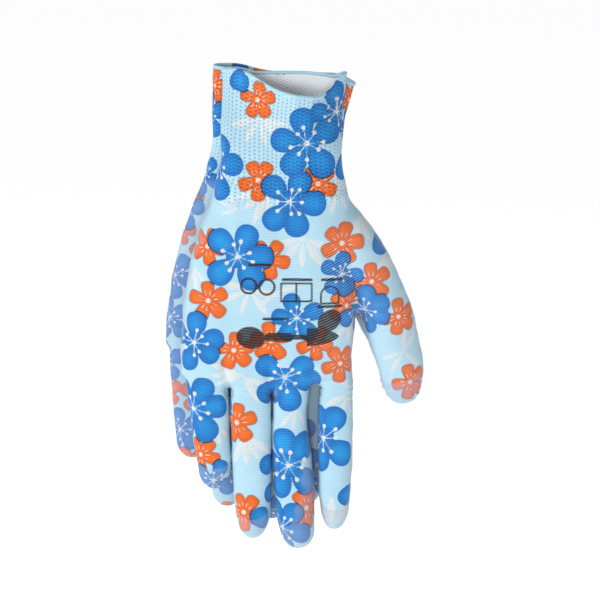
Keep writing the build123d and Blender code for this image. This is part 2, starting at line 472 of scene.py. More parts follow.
ORANGE_BLOSSOMS = {
    "hand": [
        (-13.4, -8.6, 9.0, (81, 17, 307, 247, 166)),
        (-12.6, -47.4, 10.0, (112, 56, 345, 270, 197)),
        (16.9, -49.2, 9.4, (118, 46, 334, 270, 202)),
        (-7.0, -86.6, 10.2, (60, 130, 200, 272, 346)),
        (28.8, -79.4, 10.6, (134, 76, 4, 294, 205)),
        (-38.0, -81.0, 9.4, (65, 140, 210, 280, 350)),
        (-37.6, -108.4, 10.2, (92, 28, 315, 245, 168)),
        (43.6, -99.4, 9.8, (95, 30, 315, 250, 182)),
        (57.2, -118.0, 9.2, (92, 22, 325, 262, 190)),
        (31.6, -111.6, 9.4, (350, 282, 215, 140, 70)),
        (-25.0, -134.2, 10.0, (82, 15, 315, 248, 168)),
        (-6.4, -129.0, 10.4, (100, 20, 300, 236, 170)),
        (15.6, -130.4, 9.2, (60, 130, 200, 275, 345)),
        (28.2, -142.0, 9.8, (118, 50, 345, 266, 196)),
    ],
    "ring": [
        (-24.0, -173.4, 10.8, (85, 20, 304, 245, 165)),
        (-20.8, -221.4, 10.6, (112, 52, 335, 268, 188)),
    ],
    "middle": [(11.6, -219.0, 11.0, (122, 60, 350, 280, 218))],
    "little": [(-42.6, -191.2, 10.0, (115, 50, 345, 268, 192))],
    "thumb": [(63.4, -152.6, 9.6, (100, 38, 326, 262, 190))],
    "index": [],
}
LEAF_SPRAYS = {
    "hand": [
        (-12.0, -17.5, 14.5, (196, 238, 284, 322, 350)),
        (-8.0, -53.0, 17.0, (164, 190, 216, 246, 276)),
        (9.5, -76.0, 17.5, (198, 232, 268, 304, 338)),
        (-17.0, -102.5, 15.0, (166, 204, 250, 304, 346)),
        (-4.0, -104.0, 12.0, (176, 222, 318, 20)),
        (27.0, -53.0, 12.5, (104, 60, 20, 252, 300)),
        (38.0, -67.0, 15.5, (232, 262, 292, 324)),
        (51.0, -86.0, 15.5, (246, 278, 308, 340)),
        (-21.0, -147.5, 16.5, (160, 182, 206, 300, 330)),
        (34.0, -119.0, 13.0, (228, 262, 296)),
        (-45.0, -92.0, 13.0, (248, 276, 310)),
        (-23.0, -62.0, 10.0, (120, 160, 200)),
        (59.4, -136.0, 13.0, (86, 52, 204, 244, 318)),
        (33.6, -158.0, 14.0, (206, 242, 276, 120)),
    ],
    "ring": [(-19.6, -180.0, 17.0, (246, 272, 298, 324))],
    "index": [(24.0, -231.0, 19.0, (56, 90, 124, 156))],
    "middle": [(6.0, -166.0, 12.0, (230, 262, 300))],
    "little": [(-34.0, -176.0, 10.0, (280, 320, 240))],
    "thumb": [],
}


# The palm side's print, which shows along the edges of the pair, between the front glove's
# fingers and when the gloves are apart. Its blossoms have five even petals, so a row gives only the
# direction of the first.
PALM_BLUE = [
    (-39.0, -23.0, 12.5, 20),
    (-38.5, -53.0, 11.0, 50),
    (-47.5, -71.0, 11.5, 78),
    (-49.5, -106.0, 12.5, 60),
    (-51.0, -128.0, 11.5, 30),
    (-53.0, -151.0, 11.0, 100),
    (36.5, -27.0, 12.0, 90),
    (2.0, -32.0, 16.0, 40),
    (19.0, -64.0, 15.0, 10),
    (-15.0, -76.0, 16.5, 70),
    (20.0, -101.0, 17.0, 30),
    (-21.0, -116.0, 14.5, 55),
    (43.0, -92.0, 12.0, 15),
    (6.0, -137.0, 16.0, 80),
    (-36.0, -146.0, 12.5, 45),
    (58.0, -141.0, 13.0, 60),
    (-42.0, -186.0, 12.5, 30),
    (-19.0, -178.0, 15.0, 70),
    (12.0, -184.0, 15.5, 15),
    (-16.0, -207.0, 12.0, 50),
    (27.0, -206.0, 14.0, 100),
    (4.0, -226.0, 13.5, 35),
]
PALM_ORANGE = [
    (-35.2, -8.0, 9.0, 85),
    (34.6, -11.0, 8.8, 60),
    (-44.0, -62.5, 8.6, 40),
    (-47.5, -82.0, 8.4, 70),
    (-50.5, -166.5, 8.6, 30),
    (12.0, -10.0, 9.4, 95),
    (-14.0, -50.0, 9.6, 20),
    (4.0, -86.0, 9.8, 50),
    (33.0, -79.0, 9.0, 5),
    (-34.0, -96.0, 9.2, 65),
    (-1.0, -109.0, 9.0, 35),
    (27.0, -127.0, 10.0, 90),
    (-18.0, -140.0, 9.6, 15),
    (53.0, -116.0, 9.0, 75),
    (60.0, -160.0, 9.4, 60),
    (-33.0, -167.0, 9.6, 15),
    (-36.0, -204.0, 9.2, 45),
    (-6.0, -196.0, 9.8, 80),
    (2.0, -205.0, 9.4, 60),
    (-17.0, -233.0, 9.2, 5),
    (25.0, -226.0, 9.4, 90),
]
PALM_LEAVES = [
    (-20.0, -14.0, 14.0, (196, 238, 284, 322, 350)),
    (20.0, -42.0, 15.0, (164, 190, 216, 246, 276)),
    (-4.0, -62.0, 15.0, (198, 232, 268, 304, 338)),
    (8.0, -98.0, 15.0, (176, 222, 318, 20)),
    (-34.0, -124.0, 15.0, (104, 60, 20, 252, 300)),
    (38.0, -108.0, 14.0, (232, 262, 292, 324)),
    (-4.0, -124.0, 14.0, (160, 182, 206, 300, 330)),
    (16.0, -150.0, 14.0, (228, 262, 296, 330)),
]
# Plain shapes stand where the real gloves have their maker's printing: a trowel between two
# pebbles, and above them an open frame, an arch, two rings and some bars. The rows are across,
# height and size, with a pebble's two half axes and its turn.
TROWEL = (9.4, -127.2, 19.0)
PEBBLES = [(-16.6, -127.4, 7.2, 5.8, -12), (22.6, -118.8, 6.4, 5.2, 42)]
BARS = [
    (-12.0, -89.6, 10.0),
    (6.6, -97.2, 14.0),
    (24.0, -97.4, 10.0),
    (22.8, -111.4, 11.0),
    (-4.0, -117.6, 12.0),
]
OPEN_FRAME = (6.2, -103.8, 7.6, 4.6)
ARCH = (22.8, -105.4, 4.4)
RINGS = [(-17.4, -100.4, 3.8), (-8.4, -101.0, 3.8)]
OUTLINE = 0.5             # half the thickness of the frame's and the arch's lines
BAR_HALF = 0.75
RING_HALF = 0.6

FAR = 6.0                 # the distance that stands for outside every shape
STROKE_HALF = 0.24        # half the thickness of a stalk or a petal's mark


def ellipse_distance(p, q, a, b):
    """Close to the signed distance from an ellipse with half axes a and b."""
    k0 = np.hypot(p / a, q / b)
    k1 = np.hypot(p / (a * a), q / (b * b))
    return k0 * (k0 - 1) / np.maximum(k1, 1e-6)


def segment_distance(u, v, x0, z0, x1, z1):
    du, dv = x1 - x0, z1 - z0
    t = np.clip(((u - x0) * du + (v - z0) * dv) / (du * du + dv * dv), 0, 1)
    return np.hypot(u - x0 - t * du, v - z0 - t * dv)


PETAL_POWER = 2.5


def turned(u, v, angle):
    """u and v in axes turned by an angle in degrees."""
    a = radians(angle)
    return u * cos(a) + v * sin(a), -u * sin(a) + v * cos(a)


def petals(u, v, size, angles, half_width, square):
    """Distances of the nearest and the next petal of a blossom at the origin."""
    found = [np.full(len(u), FAR)]
    for k, angle in enumerate(angles):
        p, q = turned(u, v, angle)
        reach = size * (1 + 0.05 * sin(5.3 * k + size))
        p = p - 0.59 * reach
        swell = 1 + 0.22 * np.clip(p / (0.41 * reach), -1, 1)
        if square:
            along = np.abs(p / (0.40 * reach)) ** PETAL_POWER
            level = (along + np.abs(q / swell / (half_width * reach)) ** PETAL_POWER) ** (1 / PETAL_POWER)
            found.append((level - 1) * half_width * reach)
        else:
            found.append(ellipse_distance(p, q / swell, 0.41 * reach, half_width * reach))
    found = np.sort(np.array(found), axis=0)
    return found[0], found[1]


class Print:
    """The print at a set of points: signed distances, below zero inside each shape."""

    def __init__(self, u, v, region):
        self.u, self.v, self.region = u, v, region
        for name in ("blue", "seam", "orange", "leaf", "line", "black"):
            setattr(self, name, np.full(len(u), FAR))

    def near(self, x, z, size, part):
        """The points close to x and z on a part: their indices, and their places relative to it."""
        u, v = self.u - x, self.v - z
        close = (np.abs(u) < size) & (np.abs(v) < size)
        if part != "hand":
            close &= self.region == REGIONS.index(part)
        i = np.nonzero(close)[0]
        return i, u[i], v[i]

    def put(self, name, index, distance):
        layer = getattr(self, name)
        layer[index] = np.minimum(layer[index], distance)

    def blue_blossom(self, part, x, z, size, angles):
        i, u, v = self.near(x, z, 1.2 * size, part)
        first, second = petals(u, v, size, angles, 0.335, square=False)
        whole = len(angles) > 2
        if whole:
            first = np.minimum(first, np.hypot(u, v) - 0.32 * size)
        inside = first < self.blue[i]
        self.seam[i] = np.where(inside, np.abs(second - first), self.seam[i])
        self.put("blue", i, first)
        if not whole:
            return
        for k in range(8):
            a = radians(angles[0] + 24 + 45 * k + 9 * sin(2.3 * k + size))
            reach = size * (0.44 if k % 2 else 0.35)
            tip_x, tip_z = reach * cos(a), reach * sin(a)
            stalk = segment_distance(u, v, 0, 0, tip_x, tip_z) - STROKE_HALF
            knob = np.hypot(u - tip_x, v - tip_z) - 0.056 * size
            neck = np.hypot(u - 0.9 * tip_x, v - 0.9 * tip_z) - 0.036 * size
            self.put("line", i, np.minimum(np.minimum(stalk, neck), knob))
        self.put("line", i, np.hypot(u, v) - 0.06 * size)

    def orange_blossom(self, part, x, z, size, angles):
        i, u, v = self.near(x, z, 1.2 * size, part)
        first, _ = petals(u, v, size, angles, 0.31, square=True)
        first = np.minimum(first, np.hypot(u, v) - 0.34 * size)
        self.put("orange", i, first)
        marks = np.hypot(u, v) - 0.12 * size
        for angle in angles:
            for side in (-16, 16):
                a = radians(angle + side)
                mark = segment_distance(u, v, 0.3 * size * cos(a), 0.3 * size * sin(a),
                                        0.5 * size * cos(a), 0.5 * size * sin(a))
                marks = np.minimum(marks, mark - STROKE_HALF)
        self.put("line", i, np.where((first < 0) & (self.blue[i] > 0.3), marks, FAR))

    def leaf_spray(self, part, x, z, size, angles):
        i, u, v = self.near(x, z, 1.2 * size, part)
        for k, angle in enumerate(angles):
            p, q = turned(u, v, angle)
            half = 0.46 * size * (1 - 0.08 * (k % 3))
            stem = segment_distance(p, q, 0, 0, 0.3 * size, 0) - 0.35
            p = p - half - 0.11 * size
            t = np.clip(p / half, -1, 1)
            width = 0.25 * half * (1 - t * t) * (1 + 0.15 * t)
            blade = np.where(np.abs(p) < half, np.abs(q) - width, np.hypot(np.abs(p) - half, q))
            stroke = 0.46 - np.abs(np.mod(p + 1.2 * q + k, 2.5) - 1.25)
            stroke = np.minimum(np.minimum(stroke, q + 0.1), np.minimum(0.8 * width - q, 0.55 * half - p))
            self.put("leaf", i, np.minimum(np.maximum(blade, stroke), stem))

    def trowel(self, x, z, reach):
        """A trowel lying on its side, its blade to the right."""
        i, u, v = self.near(x, z, 1.2 * reach, "hand")
        t = np.clip((u - 0.1 * reach) / (0.85 * reach), 0, 1)
        blade = np.maximum(np.abs(v) - 0.25 * reach * (1 - t ** 2.4) ** 0.7, 0.1 * reach - u)
        shaft = np.maximum(np.abs(v) - 0.07 * reach, np.maximum(-u - 0.4 * reach, u - 0.15 * reach))
        grip = np.hypot(v, np.maximum(np.abs(u + 0.62 * reach) - 0.26 * reach, 0)) - 0.12 * reach
        self.put("black", i, np.minimum(np.minimum(blade, shaft), grip))

    def pebble(self, x, z, half_width, half_height, turn):
        i, u, v = self.near(x, z, 1.6 * half_width, "hand")
        self.put("black", i, ellipse_distance(*turned(u, v, turn), half_width, half_height))

    def bar(self, x, z, length):
        i, u, v = self.near(x, z, length, "hand")
        self.put("black", i, np.hypot(np.maximum(np.abs(u) - length / 2, 0), v) - BAR_HALF)

    def outlines(self):
        """The frame, the arch and the rings."""
        x, z, half_width, half_height = OPEN_FRAME
        i, u, v = self.near(x, z, 2 * half_width, "hand")
        edge = np.abs(np.maximum(np.abs(u) - half_width, np.abs(v) - half_height))
        middle = np.where(np.abs(v) < half_height, np.abs(u), FAR)
        self.put("black", i, np.minimum(edge, middle) - OUTLINE)
        x, z, half_width = ARCH
        i, u, v = self.near(x, z, 3 * half_width, "hand")
        arch = np.maximum(np.hypot(u, np.maximum(v, 0)) - half_width, -v - half_width)
        self.put("black", i, np.abs(arch) - OUTLINE)
        for x, z, radius in RINGS:
            i, u, v = self.near(x, z, 2 * radius, "hand")
            self.put("black", i, np.abs(np.hypot(u, v) - radius) - RING_HALF)

    def marks(self):
        self.trowel(*TROWEL)
        for pebble in PEBBLES:
            self.pebble(*pebble)
        for bar in BARS:
            self.bar(*bar)
        self.outlines()

    def motifs(self, part, blue, orange, leaves):
        for motif in blue:
            self.blue_blossom(part, *motif)
        for motif in orange:
            self.orange_blossom(part, *motif)
        for motif in leaves:
            self.leaf_spray(part, *motif)

    def lay_out_back(self):
        for part in BLUE_BLOSSOMS:
            self.motifs(part, BLUE_BLOSSOMS[part], ORANGE_BLOSSOMS[part], LEAF_SPRAYS[part])
        self.marks()

    def lay_out_palm(self):
        blue, orange = [
            [(x, z, size, [(first + 72 * k) % 360 for k in range(5)]) for x, z, size, first in rows]
            for rows in (PALM_BLUE, PALM_ORANGE)
        ]
        self.motifs("hand", blue, orange, PALM_LEAVES)


LAYERS = ("blue", "seam", "orange", "leaf", "line", "black")


def flat_print_place(points, normals):
    """Where a point lies on the flat glove that was printed: the sides take up more of the print."""
    nx = np.clip(normals[:, 0], -0.999, 0.999)
    nz = np.clip(normals[:, 2], -0.999, 0.999)
    u = points[:, 0] + 10.0 * (np.arcsin(nx) - nx)
    v = points[:, 2] + 8.0 * (np.arcsin(nz) - nz)
    return u, v


COLUMN_PITCH = 2.05       # between the rib's columns of dimples
ROW_PITCH = 1.85          # between the rib's rows of dimples
COURSE_PITCH = 1.42       # between the plain knit's courses


def around_cuff(points, glove):
    """Distance round the cuff from the middle of its palm face, the same to left and right."""
    rows = np.array(hand_rows(glove), float)[::-1]
    z = np.clip(points[:, 2] / glove["length"], rows[0, 0], rows[-1, 0])
    x = (points[:, 0] - through(z, rows[:, 0], rows[:, 1])) / through(z, rows[:, 0], rows[:, 2])
    half_depth = through(z, rows[:, 0], rows[:, 3]) * glove["depth"]
    y = (points[:, 1] + half_depth) / half_depth
    power = glove["roundness"] / 2
    turn = np.arctan2(np.abs(x) ** power, np.sign(y) * np.abs(y) ** power)
    steps = np.linspace(0, pi, 200)
    section_x = 30.0 * np.abs(np.sin(steps)) ** (1 / power)
    section_y = 13.5 * glove["depth"] * np.sign(np.cos(steps)) * np.abs(np.cos(steps)) ** (1 / power)
    length = np.concatenate([[0], np.cumsum(np.hypot(np.diff(section_x), np.diff(section_y)))])
    length *= round(length[-1] / COLUMN_PITCH) * COLUMN_PITCH / length[-1]
    return np.interp(turn, steps, length) + COLUMN_PITCH / 4


def tip_distance(points, glove):
    """Distance from the nearest fingertip, measured along the digit."""
    z = points[:, 2] / glove["length"]
    region = region_of(points, glove)
    away = np.full(len(points), NOWHERE)
    for digit in FINGERS:
        away = np.where(region == REGIONS.index(digit), z - FINGER_TIP[digit][1], away)
    along = on_thumb(points, glove)
    return np.where(region == REGIONS.index("thumb"), THUMB_LENGTH - along, away)


def dip_share(points, normals, glove):
    """1 where the clear dip covers the knit, 0 where it doesn't."""
    x, z = points[:, 0], points[:, 2] / glove["length"]
    facing = np.clip(-normals[:, 1], -1, 1)
    tip = tip_distance(points, glove)
    # reach grows towards the fingertips, up the little-finger side, along the index finger's
    # thumb side, and across the middle finger. The dip covers whatever faces back less than reach.
    ripple = 0.10 * np.sin(points[:, 2] * 0.31 + 1.0) + 0.06 * np.sin(points[:, 2] * 0.83 + x * 0.2)
    reach = 0.30 + ripple + 0.9 * ease((17.0 - tip) / 7.0)
    reach += 0.30 * ease((-35.0 - x) / 7.0) * ease((z + 150.0) / 20.0)
    reach += 0.35 * ease((x - 30.0) / 4.0) * ease((-z - 118.0) / 20.0) * ease((45.0 - x) / 4.0)
    middle = (x > -6.0) & (x < 16.0) & (z < KNUCKLE_Z)
    reach += np.where(middle, 0.75 * ease((x - 3.0 - 0.2 * (z + 200.0)) / 9.0) * ease((-z - 176.0) / 24.0), 0)
    dip = ease((reach - facing) / 0.22 + 0.5)
    return dip * ease((-58.0 - z + 6 * ripple) / 4.0)


def attributes_of(points, normals, glove):
    """Everything the materials need to know at each point of the skin."""
    u, v = flat_print_place(points, normals)
    region = region_of(points, glove)
    back = Print(u, v, region)
    palm = Print(u, v, region)
    back.lay_out_back()
    palm.lay_out_palm()
    is_palm = normals[:, 1] > 0
    out = {}
    for name in LAYERS:
        out[name] = np.where(is_palm, getattr(palm, name), getattr(back, name))
    facing = np.clip(-normals[:, 1], -1, 1)
    out["fold"] = np.abs(np.arcsin(facing)) * 10.0
    z = points[:, 2] / glove["length"]
    out["dip"] = dip_share(points, normals, glove)
    out["rib"] = ease((z + 64.0) / 10.0)
    # The courses bow, more towards the thumb, and the knit is stretched open on that side.
    bow = np.where(u > 0, 0.0105, 0.004) * u * u
    out["course"] = v - bow
    out["stretch"] = ease((u - 8.0) / 16.0) * ease((-62.0 - z) / 14.0) * ease((z + 165.0) / 20.0)
    return u, v, out


# ---------------------------------------------------------------- folds and the cuff's mouth

# Valleys pressed into the back of the glove: from, to (across, height), width, depth.
VALLEYS = [
    ((-6.0, -160), (-7.5, -143), 2.2, 1.6),
    ((-5.5, -154), (1.5, -148), 1.7, 1.5),
    ((1.5, -149.5), (14.0, -148.0), 1.7, 0.9),
    ((15.5, -158), (13.5, -145), 2.6, 1.2),
    ((-27.8, -160), (-30.0, -141), 2.0, 1.3),
    ((37.8, -121), (33.5, -98), 4.2, 1.5),
    ((33.0, -62), (24.0, -86), 5.5, 0.9),
    ((-33.0, -60), (-26.0, -80), 5.0, 0.7),
    ((-6.0, -66), (4.0, -88), 7.0, 0.5),
]
# The right cuff's mouth, pinched above this depth: across, share of its full depth.
MOUTH_HEIGHT = 40.0
MOUTH_PROFILE = [
    (-31, 0.24), (-24, 0.30), (-17, 0.52), (-6, 0.86), (6, 1.0),
    (14, 0.97), (21, 0.70), (26, 0.42), (31, 0.28),
]
# Heights of the cuffs' edges: all round the left one, and along the back wall of the right one.
LEFT_RIM = [(-36, 1.4), (-22, 1.2), (-12, -0.9), (0, -1.6), (16, -1.2), (27, -0.6), (35, -3.2)]
MOUTH_SAG = [
    (-32, 3.6), (-24, 4.4), (-17, 3.2), (-10, 0.0), (0, -3.9),
    (9, -5.6), (19, -5.8), (25, -3.0), (28, 1.2), (32, 3.0),
]
PALM_RIM = 2.0            # height of the right cuff's palm-side edge


def press_folds(points, normals, glove):
    """Tucks at the finger roots, folds at the thumb, and the unevenness of a worn knit."""
    x, z = points[:, 0], points[:, 2] / glove["length"]
    on_back = ease((-normals[:, 1] + 0.2) / 0.6)
    depth = np.zeros(len(points))
    for (x0, z0), (x1, z1), width, deep in VALLEYS:
        away = segment_distance(x, z, x0, z0, x1, z1)
        depth -= deep * np.exp(-(away / width) ** 2) * on_back
    # Gathers at the finger roots, slack rings round the wrist, then a slow and a quicker unevenness.
    tuck = np.exp(-((z + 158.5) / 6.0) ** 2)
    depth += 0.22 * np.sin(z * 1.9 + 0.35 * x) * tuck
    wrist = np.exp(-((z + 52) / 14.0) ** 2)
    depth += 0.28 * np.sin(z * 0.55 + 0.06 * x) * wrist * on_back
    depth += 0.34 * np.sin(0.19 * x + 0.11 * z) * np.sin(0.16 * z - 0.07 * x + 2.0)
    depth += 0.16 * np.sin(0.45 * x - 0.2 * z + 1.3) * np.sin(0.38 * z + 0.5)
    return points + normals * (glove["calm"] * depth)[:, None]


def open_mouth(points, glove):
    """Pinches the cuff's two corners, so that its edge gapes in the middle."""
    if glove["side"] == "left":
        return points
    out = points.copy()
    w = ease((points[:, 2] + MOUTH_HEIGHT) / MOUTH_HEIGHT)
    xs, share = zip(*MOUTH_PROFILE)
    keep = np.interp(points[:, 0], xs, share)
    keep = 1 - w * (1 - keep)
    out[:, 1] = points[:, 1] * keep
    return out


def rim_height(x, y, glove):
    """Height of the cuff's edge: on the right glove its back wall sags at the middle of the mouth."""
    if glove["side"] == "left":
        xs, edge = zip(*LEFT_RIM)
        return through(np.clip(x, xs[0], xs[-1]), xs, edge)
    back = ease(-y / 16.0)
    xs, sag = zip(*MOUTH_SAG)
    return PALM_RIM * (1 - back) + back * through(np.clip(x, xs[0], xs[-1]), xs, sag)


def cut_rim(points, quads, glove):
    """Takes the skin off above the cuff's slanting edge, and leaves a clean edge."""
    edge = rim_height(points[:, 0], points[:, 1], glove)
    over = points[:, 2] - edge
    quads = quads[~(over[quads] > 0).all(axis=1)]
    out = points.copy()
    out[:, 2] = np.where(over > 0, edge, points[:, 2])
    used = np.unique(quads)
    place = np.full(len(points), -1)
    place[used] = np.arange(len(used))
    return out[used], place[quads]


def cuff_ring(z, inset, glove, count):
    """Points round the cuff at height z, moved in by inset, with the ring's own edge height."""
    rows = np.array(hand_rows(glove), float)[::-1]
    centre = through(np.array([z]), rows[:, 0], rows[:, 1])[0]
    half_width = through(np.array([z]), rows[:, 0], rows[:, 2])[0] - inset
    half_depth = through(np.array([z]), rows[:, 0], rows[:, 3])[0] * glove["depth"]
    x, y = ring_points(half_width, half_depth - inset, glove["roundness"], count)
    return np.column_stack([x + centre, y - half_depth, np.full(count, z * glove["length"])])


def evenly(ring, count):
    """The same closed ring with its points evenly spaced."""
    closed = np.vstack([ring, ring[:1]])
    length = np.concatenate([[0], np.cumsum(np.linalg.norm(np.diff(closed, axis=0), axis=1))])
    wanted = np.arange(count) * length[-1] / count
    return np.column_stack([np.interp(wanted, length, closed[:, i]) for i in range(3)]), length[-1]


# ---------------------------------------------------------------- from arrays to pieces

def placed(points, glove):
    """From the glove's own frame to the row's, in millimetres."""
    if glove["side"] == "right":
        return points + np.array([0, PALM_FACE_Y, 0])
    a = radians(LEFT_TURN)
    x, y, z = points[:, 0], -points[:, 1] + PALM_FACE_Y + PAIR_GAP, points[:, 2]
    return np.column_stack([x * cos(a) + z * sin(a), y, -x * sin(a) + z * cos(a)])


def placed_direction(vectors, glove):
    return placed(vectors, glove) - placed(np.zeros_like(vectors), glove)


def mesh_object(name, points, faces, glove, attributes=None, normals=None):
    """A smooth-shaded object in metres from a glove's own millimetres."""
    world = placed(np.asarray(points, float), glove) * MM
    faces = [tuple(int(i) for i in f) for f in faces]
    if glove["side"] == "left":
        faces = [f[::-1] for f in faces]
    mesh = bpy.data.meshes.new(name)
    mesh.from_pydata(world.tolist(), [], faces)
    mesh.update()
    for key, values in (attributes or {}).items():
        layer = mesh.attributes.new(key, "FLOAT", "POINT")
        layer.data.foreach_set("value", np.asarray(values, np.float32))
    mesh.shade_smooth()
    if normals is not None:
        turned = placed_direction(normals, glove)
        mesh.normals_split_custom_set_from_vertices(turned.tolist())
    piece = bpy.data.objects.new(name, mesh)
    bpy.context.collection.objects.link(piece)
    return piece


def attach(piece, region, glove):
    """The cuff and the palm ride on the hand's body; a digit has its transform baked into its mesh."""
    if region < 2:
        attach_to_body(piece, glove["hand"])
        return
    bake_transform(piece)


def split_skin(points, quads, around, glove, materials):
    """Makes the knit and the dip pieces of one glove, and hides the CAD parts that they replace."""
    normals = normals_of(points, quads)
    _, v, facts = attributes_of(points, normals, glove)
    facts["across"], facts["height"] = around, v
    region = region_of(points[quads].mean(axis=1), glove)
    dipped = facts["dip"][quads].mean(axis=1) > 0.5
    side = glove["side"]
    for r, name in enumerate(REGIONS):
        for dip in (False, True):
            chosen = quads[(region == r) & (dipped == dip)]
            if len(chosen) == 0:
                continue
            used = np.unique(chosen)
            place = np.full(len(points), -1)
            place[used] = np.arange(len(used))
            kind = "coating" if dip else ("cuff" if r == 0 else "liner" if r == 1 else "stall")
            title = f"{side}_{kind}_skin" if r == 0 else f"{side}_{name}_{kind}_skin"
            piece = mesh_object(title, points[used], place[chosen], glove,
                                {k: a[used] for k, a in facts.items()}, normals[used])
            piece.data.materials.append(materials["skin"])
            attach(piece, r, glove)
            if r == 0:
                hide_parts(f"{side}_cuff")
            elif dip:
                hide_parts(f"{side}_{name}_coating")
            else:
                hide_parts(f"{side}_palm_liner" if r == 1 else f"{side}_{name}_stall")


def plain_facts(across, height):
    """The attributes of a piece that is neither dipped, ribbed, stretched nor folded flat."""
    facts = {"across": across, "height": height, "course": height}
    for name, value in (("fold", 9.0), ("dip", 0.0), ("rib", 0.0), ("stretch", 0.0)):
        facts[name] = np.full(len(height), value)
    return facts


WALL_INSET = 0.5
WALL_DEPTH_INSET = 2.0


def add_side_walls(glove, materials):
    """A wall inside each finger, which closes the side where the web between two fingers is cut."""
    for digit in FINGERS:
        rows = [(z, centre, half_width - WALL_INSET, half_depth - WALL_DEPTH_INSET)
                for z, centre, half_width, half_depth in FINGER[digit] if z < -150]
        rings = level_rings(rows, glove, roundness=3.0)
        for ring in rings:
            ring[:, 1] -= WALL_DEPTH_INSET * glove["depth"]
        points, faces = tube(rings)
        points = np.array(points)
        facts = {name: np.full(len(points), FAR) for name in LAYERS}
        facts |= plain_facts(points[:, 0], points[:, 2])
        piece = mesh_object(f"{glove['side']}_{digit}_side_wall", points, faces, glove, facts)
        piece.data.materials.append(materials["skin"])
        attach(piece, REGIONS.index(digit), glove)


LINING_INSET = 1.5
LINING_DEPTH = 66.0
LINING_STEP = 1.5
LINING_ROUND = 170.0      # the length round the cuff, as its pattern counts it


def add_lining(glove, materials):
    """The inside of the cuff, seen through its mouth."""
    count = 160
    heights = np.concatenate([[4.0, 2.0, 0.0], -np.arange(LINING_STEP, LINING_DEPTH, LINING_STEP)])
    rings = []
    for z in heights:
        ring = cuff_ring(z, LINING_INSET, glove, count)
        top = rim_height(ring[:, 0], ring[:, 1], glove) - 0.4
        ring[:, 2] = np.minimum(ring[:, 2], top)
        around = np.arange(count) * 2 * pi / count
        ring[:, 1] += 0.25 * np.sin(around * 7 + z * 0.2) * ease(-z / 12)
        rings.append(open_mouth(ring, glove))
    points = np.vstack(rings)
    faces = [
        (r * count + k, (r + 1) * count + k, (r + 1) * count + j, r * count + j)
        for r in range(len(rings) - 1) for k, j in pairs_round(count)
    ]
    around = np.tile(np.arange(count) / count * LINING_ROUND, len(rings))
    piece = mesh_object(f"{glove['side']}_cuff_inside", points, faces, glove,
                        {"across": around, "height": points[:, 2]})
    piece.data.materials.append(materials["lining"])
    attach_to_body(piece, glove["hand"])


def swept_ring(centre_ring, height, thickness, sides, bump):
    """A band of oval section swept round a closed ring; bump(along, round) lifts its surface."""
    ring, length = centre_ring
    count = len(ring)
    ahead = np.roll(ring, -1, axis=0) - np.roll(ring, 1, axis=0)
    ahead /= np.linalg.norm(ahead, axis=1, keepdims=True)
    up = np.array([0, 0, 1.0]) - ahead * ahead[:, 2:3]
    up /= np.linalg.norm(up, axis=1, keepdims=True)
    out = np.cross(ahead, up)
    along = np.arange(count) * length / count
    points = []
    for k in range(sides):
        a = 2 * pi * k / sides
        lift = 1 + bump(along, a)
        offset = out * (thickness * cos(a) * lift)[:, None] + up * (height * sin(a) * lift)[:, None]
        points.append(ring + offset)
    points = np.stack(points, axis=1).reshape(-1, 3)
    faces = [
        (c * sides + k, c * sides + j, d * sides + j, d * sides + k)
        for c, d in pairs_round(count) for k, j in pairs_round(sides)
    ]
    return points, faces, np.repeat(along, sides)


STITCH_PITCH = 1.45


def add_hem(glove, materials):
    """Overlock thread laid over the cuff's cut edge, one slanting stitch beside the next."""
    ring = cuff_ring(0.0, 0.75, glove, 400)
    ring[:, 2] = rim_height(ring[:, 0], ring[:, 1], glove) - 0.3
    ring = open_mouth(ring, glove)
    count = 620
    centre_ring = evenly(ring, count)
    stitches = round(centre_ring[1] / STITCH_PITCH)
    pitch = centre_ring[1] / stitches

    def bump(along, a):
        return 0.16 * np.abs(np.sin(pi * (along / pitch + a / (2 * pi)))) ** 0.6 - 0.05

    points, faces, along = swept_ring(centre_ring, 0.95, 0.85, 12, bump)
    u, v = points[:, 0], points[:, 2]
    layers = Print(u, v, np.zeros(len(u), int))
    layers.lay_out_back()
    facts = {name: getattr(layers, name) for name in LAYERS}
    facts |= plain_facts(along, v)
    piece = mesh_object(f"{glove['side']}_hem_overlock", points, faces, glove, facts)
    piece.data.materials.append(materials["hem"])
    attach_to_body(piece, glove["hand"])
    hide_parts(f"{glove['side']}_hem_thread")


ELASTIC_TURNS = 11
ELASTIC_TOP = -10.4
ELASTIC_STEP = 4.0


def add_elastic(glove, materials):
    """Rings of covered elastic yarn, laid round the inside of the cuff."""
    def bump(along, a):
        return 0.12 * np.sin(along * 5.0)

    all_points, all_faces = [], []
    base = 0
    for turn in range(ELASTIC_TURNS):
        z = ELASTIC_TOP - ELASTIC_STEP * turn
        ring = cuff_ring(z, LINING_INSET + 0.25, glove, 240)
        ring = open_mouth(ring, glove)
        points, faces, _ = swept_ring(evenly(ring, 240), 0.32, 0.3, 8, bump)
        all_points.append(points)
        all_faces += [tuple(i + base for i in f) for f in faces]
        base += len(points)
    piece = mesh_object(f"{glove['side']}_elastic_yarn", np.vstack(all_points), all_faces, glove)
    piece.data.materials.append(materials["elastic"])
    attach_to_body(piece, glove["hand"])
    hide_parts(f"{glove['side']}_cuff_elastic")


def build_glove(glove, materials):
    points, quads = glove_skin(glove)
    edges = edges_of(quads)
    points = smooth(points, edges, SMOOTH_ROUNDS)
    points = close_fingers(points, glove)
    points = press_folds(points, normals_of(points, quads), glove)
    points = smooth(points, edges, 2)
    points, quads = cut_rim(points, quads, glove)
    around = around_cuff(points, glove)
    points = open_mouth(points, glove)
    split_skin(points, quads, around, glove, materials)
    add_side_walls(glove, materials)
    add_lining(glove, materials)
    add_hem(glove, materials)
    add_elastic(glove, materials)


